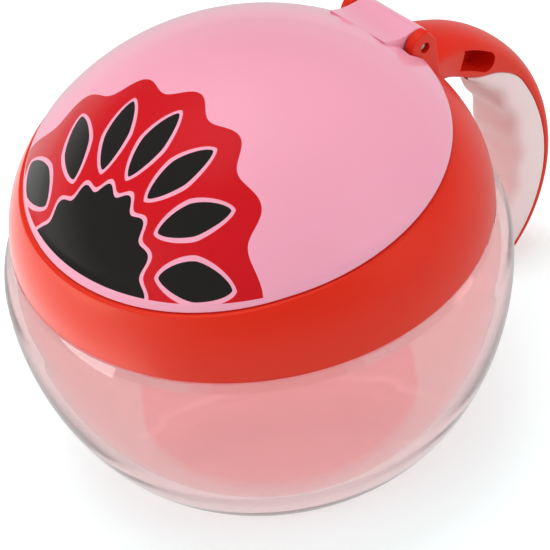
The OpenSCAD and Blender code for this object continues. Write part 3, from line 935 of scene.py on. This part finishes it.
lid_pink = plastic("lid_pink", LID_PINK, 0.2, uneven=0.05, drift=0.03, bump=0.000006,
                   grain=120, coat=0.4)
lid_skin = node_of(lid_pink, "GROUP")
tree = lid_pink.node_tree
printed = add_node(tree, "Group", node_tree=make_print_group())
tree.links.new(printed.outputs["Color"], lid_skin.inputs["Color"])
print("print group:", len(printed.node_tree.nodes), "nodes")

# %% [markdown]
# ## The lid
# A dome of one wall with a flange, a plug skirt that drops inside the rim, and a thumb
# lip that swells out of the flange at the front. All of this is one outline that
# changes slowly round the axis. The tongue and hinge barrel are joined on, the gaps
# for the ears are cut out, and the pin's bore is cut last.

# %% The lid
def swell(a, b, soft=0.2):
    """The larger of two values, with the change from one to the other eased."""
    return 0.5 * (a + b + math.sqrt((a - b) ** 2 + soft ** 2))


LIP_LOW, LIP_HIGH, DIP_R = -2.1, -0.3, 40.5


def lip_radius(c, z):
    """Radius of the lip at height z, for the cosine of an angle. The lip is a cone whose
    axis stands 1 mm in front of the lid's."""
    bottom, top = lid_r + 0.35, lid_r - 0.4
    cone = bottom + (top - bottom) * (z - LIP_LOW) / (LIP_HIGH - LIP_LOW)
    return -c + math.sqrt(cone ** 2 - (1 - c * c))


def on_sphere(radius, a):
    """A point (radius, height) of the dome's outside or inside."""
    return max(0, radius * math.cos(a)), radius * math.sin(a) - dome_drop


inner_r = dome_r - lid_wall
plug_in = plug_r - plug_t
edge_a = math.asin((dome_drop + 0.35) / dome_r)
shut_a = math.acos(plug_in / inner_r)
top_a = math.pi / 2


def lid_outline(a):
    """The lid's section at an angle: skirt, flange or lip, dome, and back inside."""
    c = math.cos(a)
    under = -flange_t + min(0.0, (DIP_R * c - dip_start) * dip_slope)
    low_edge = swell(lid_r, lip_radius(c, under))
    high_edge = swell(lid_r - 0.03, lip_radius(c, LIP_HIGH))
    start = rounded([(plug_in, 0.5), (plug_in, -plug_h), (plug_r, -plug_h), (plug_r, under),
                     (low_edge, under), (high_edge, LIP_HIGH), on_sphere(dome_r, edge_a)],
                    [0, 0.5, 0.5, 0.3, 0.35, 0.4, 0])
    return (start + [on_sphere(dome_r, a) for a in spread(edge_a, top_a, 64)[1:]]
            + [on_sphere(inner_r, a) for a in spread(top_a, shut_a, 48)])


lid = turned("lid_shell", lid_outline, lid_pink, tilted=True)


def height_at(radius, x):
    """The height of the dome's outside or inside at a distance x from its axis."""
    return math.sqrt(radius ** 2 - x * x) - dome_drop


def tilt_outline(line):
    """An outline of the lid's frame, taken to the upright frame."""
    return [(p[0], p[2]) for p in (from_lid(x, 0, z) for x, z in line)]


tongue_x, skirt_x, sunk = 32.2, plug_r - 0.6, 0.4
tongue_line = list(zip(bent(tongue_x, 35.0, 37.4, 10),
                       bent(height_at(dome_r, tongue_x) + 0.02, 5.8, 5.42, 10)))
tongue_line += [circle_point(pin_lx, pin_lz, barrel_r, math.radians(98 - 6 * i))
                for i in range(33)]
tongue_line += [(skirt_x, -flange_t + 0.3), (skirt_x, height_at(inner_r, skirt_x) + sunk),
                (tongue_x + 0.4, height_at(inner_r, tongue_x + 0.4) + sunk),
                (tongue_x, height_at(inner_r, tongue_x) + sunk + 0.5)]
tongue = extruded("tongue", tilt_outline(tongue_line), -barrel_l / 2, barrel_l / 2, bevel=0.6)
cut_or_join(lid, [tongue], "UNION", 20)
notch_in, notch_out, notch_low, notch_high = pin_lx - ear_r - 0.7, 60, -9, 12
notch = tilt_outline([(notch_in, notch_low), (notch_in, notch_high),
                      (notch_out, notch_high), (notch_out, notch_low)])
notches = [extruded("notch", notch, side * (ear_in - 0.3), side * (ear_out + 0.3))
           for side in (1, -1)]
cut_or_join(lid, notches + [pin_bore("bore")], "DIFFERENCE", 20)
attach(lid, "lid")
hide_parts("lid")
link_light(strip_box, lid, "EXCLUDE")
link_light(lid_strip, lid, "INCLUDE")
count_faces("lid", lid)

# %% [markdown]
# ## The hinge pin
# Drawn steel wire, cut to length, with its ends lightly domed. It sits a little below
# the faces of the ears. Fine lines run round it from drawing.

# %% The hinge pin
wire_steel, tree = new_material("wire_steel")
place = add_node(tree, "TexCoord").outputs["Object"]
stretch = add_node(tree, "Mapping", {"Vector": place, "Scale": (2500, 60, 2500)})
lines = add_node(tree, "TexNoise", {"Vector": stretch, "Scale": 1.0})
span = add_node(tree, "MapRange", {"Value": lines, "To Min": 0.18, "To Max": 0.42})
shader = add_node(tree, "BsdfPrincipled", {
    "Base Color": linear((196, 190, 182)), "Metallic": 1.0, "Roughness": span})
add_node(tree, "OutputMaterial", {"Surface": shader})
pin_half = ear_out - 0.6
stations = [(-pin_half, 0.45), (-pin_half + 0.06, 0.75), (-pin_half + 0.2, pin_r - 0.1),
            (-pin_half + 0.4, pin_r)]
stations += [(-y, r) for y, r in reversed(stations)]


def pin_ring(y, radius):
    """A ring of the pin at one place along it."""
    circle = (circle_point(pin_x, pin_z, radius, a) for a in full_turn(40))
    return [(x, y, z) for x, z in circle]


pin = capped("hinge_pin_wire", [pin_ring(y, r) for y, r in stations], wire_steel)
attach(pin, "collar")
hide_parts("hinge_pin")
count_faces("pin", pin)

# %% [markdown]
# ## The insert
# A stiff ring hangs in the bowl's mouth, its flange clamped under the collar's deck. A
# soft skin with a six-sided opening lies on its ledge, and six soft petals close the
# opening. Each petal thins to a rounded bead at its root, where it bends.

# %% The insert
neck_gap, insert_t, dish_h, flap_t, flap_reach = 0.4, 1.2, 4.0, 1.2, 23.0
dish_r = neck_bore - neck_gap
dish_z = neck_top - dish_h
flap_z = dish_z + insert_t
ledge_r = flap_reach / math.cos(math.pi / 6) + 0.6
web_in = flap_reach + flap_t / 2 + 0.3
SIXTH = math.pi / 3
flange_top = neck_top + insert_t
insert_line = rounded(
    [(dish_r - 1.6, flange_top), (neck_r - 0.4, flange_top), (neck_r - 0.4, neck_top),
     (dish_r, neck_top), (dish_r, dish_z), (ledge_r, dish_z), (ledge_r, flap_z),
     (dish_r - 1.6, flap_z)], [0.5, 0.35, 0.35, 0.2, 0.9, 0.35, 0.35, 0.5])
insert = turned("insert_dish", lambda a: insert_line, insert_pink)
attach(insert, "insert")
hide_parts("insert_ring")


def web_outline(a):
    """The soft skin's section: its inner edge follows a six-sided opening."""
    off = (a + SIXTH / 2) % SIXTH - SIXTH / 2
    r = min(web_in / math.cos(off), web_in / math.cos(SIXTH / 2) - 0.5)
    return rounded([(r, flap_z), (dish_r - 2, flap_z), (dish_r - 2, flap_z + flap_t),
                    (r, flap_z + flap_t)], [0.4, 0.3, 0.4, 0.5])


web = turned("flap_skin", web_outline, flap_pink)
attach(web, "insert")
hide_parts("flap_web")
count_faces("insert", insert, web)

# %% [markdown]
# ## The six petals
# Six equal wedges with a fine slit between each pair. A petal starts at a thinned tip
# near the middle, keeps one thickness, and ends in the round bead that it bends on. All
# six are one shape, turned by sixty degrees at a time.

# %% The six petals
petal_tip, tip_end, tip_share, half_slit, root_half = 2.1, 3, 0.45, 0.5, 12.3
half_t = flap_t / 2


def petal_section(w, h):
    """A flat rounded section as (y, z), w and h being its half sizes."""
    edge = min(h, w)
    return [(math.copysign(max(0, w - edge), math.cos(a)) + edge * math.cos(a),
             h * math.sin(a)) for a in full_turn(32)]


def petal_rings(turn):
    """Rings across a petal from its tip to its root bead."""
    slope, slit = math.tan(SIXTH / 2), half_slit / math.cos(SIXTH / 2)
    places = [petal_tip, 2.2, 2.4] + list(range(tip_end, 23)) + [22.4]
    places += [flap_reach + half_t * math.sin(math.radians(b)) for b in range(-50, 81, 13)]
    rings = []
    for x in places:
        w, h = min(x * slope - slit, root_half), half_t
        if x < tip_end:
            h *= tip_share + (1 - tip_share) * (x - petal_tip) / (tip_end - petal_tip)
        if x > flap_reach:
            h = math.sqrt(max(0.01, h * h - (x - flap_reach) ** 2))
            w -= (half_t - h) * 0.6
        rings.append([(x * math.cos(turn) - y * math.sin(turn),
                       x * math.sin(turn) + y * math.cos(turn), flap_z + half_t + z)
                      for y, z in petal_section(w, h)])
    return rings


for index in range(6):
    petal = capped(f"petal_{index + 1}", petal_rings(SIXTH * index), flap_pink)
    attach(petal, f"flap_{index + 1}")
    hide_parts(f"flap_{index + 1}")
print("six petals made")

# %% [markdown]
# ## Screw thread
# Three short ridges climb round the bowl's neck, and three more hang inside the collar
# between them. Each follows a helix, so Geometry Nodes draw them: a spiral curve, a
# round section swept along it, and three turned copies. Both sets come from one recipe
# and differ only in its named inputs and in their plastic.

# %% Thread ridges
def thread_tree(material):
    """Copies of one ridge, spaced evenly round the axis."""
    group, source = new_group(
        "thread_ridges", "GeometryNodeTree",
        {"Radius": 0.04, "Height": 0.004, "Turns": 0.3, "Ridge": 0.0008, "Foot": 0.047,
         "Start": 0.0, "Copies": 3}, {"Geometry": "Geometry"})
    helix = add_node(group, "GeometryNodeCurveSpiral", {
        "Resolution": 96, "Rotations": source["Turns"], "Start Radius": source["Radius"],
        "End Radius": source["Radius"], "Height": source["Height"]})
    section = add_node(group, "GeometryNodeCurvePrimitiveCircle",
                       {"Resolution": 10, "Radius": source["Ridge"]})
    ridge = add_node(group, "GeometryNodeCurveToMesh", {
        "Curve": helix, "Profile Curve": section, "Fill Caps": True})
    index = add_node(group, "GeometryNodeInputIndex")
    share = math_node(group, "DIVIDE", index, source["Copies"])
    angle = math_node(group, "MULTIPLY_ADD", share, 2 * math.pi, source["Start"])
    facing = add_node(group, "CombineXYZ", {"Z": angle})
    rise = add_node(group, "CombineXYZ", {"Z": source["Foot"]})
    spots = add_node(group, "GeometryNodePoints",
                     {"Count": source["Copies"], "Position": rise})
    copies = add_node(group, "GeometryNodeInstanceOnPoints",
                      {"Points": spots, "Instance": ridge, "Rotation": facing})
    real = add_node(group, "GeometryNodeRealizeInstances", {0: copies})
    finish = add_node(group, "GeometryNodeSetMaterial",
                      {"Geometry": real, "Material": material})
    add_node(group, "NodeGroupOutput", {"Geometry": finish})
    return group


def thread_piece(name, material, body, slot, **sizes):
    """Thread ridges as a plain mesh, from the tree's named inputs."""
    obj = new_object(name, bpy.data.meshes.new(name))
    group = thread_tree(material)
    step = obj.modifiers.new("thread", "NODES")
    step.node_group = group
    for item in group.interface.items_tree:
        if item.in_out == "INPUT" and item.name in sizes:
            step[item.identifier] = sizes[item.name]
    obj.data = applied_mesh(obj)
    for face in obj.data.polygons:
        face.use_smooth = True
    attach(obj, body)
    count_faces(name, obj)


THREAD_LEAD, THREAD_TURNS, THREAD_RIDGE = 12.0, 0.3, 0.9
same = {"Height": THREAD_LEAD * THREAD_TURNS * MM, "Turns": THREAD_TURNS,
        "Ridge": THREAD_RIDGE * MM}
thread_piece("neck_thread", bowl_tint, "bowl", "bowl_plastic",
             Radius=(neck_r + 0.1) * MM, Foot=49.2 * MM, Start=0.0, **same)
thread_piece("collar_thread", collar_red, "collar", "collar_plastic",
             Radius=(skirt_r - 0.05) * MM, Foot=46.9 * MM, Start=0.2, **same)
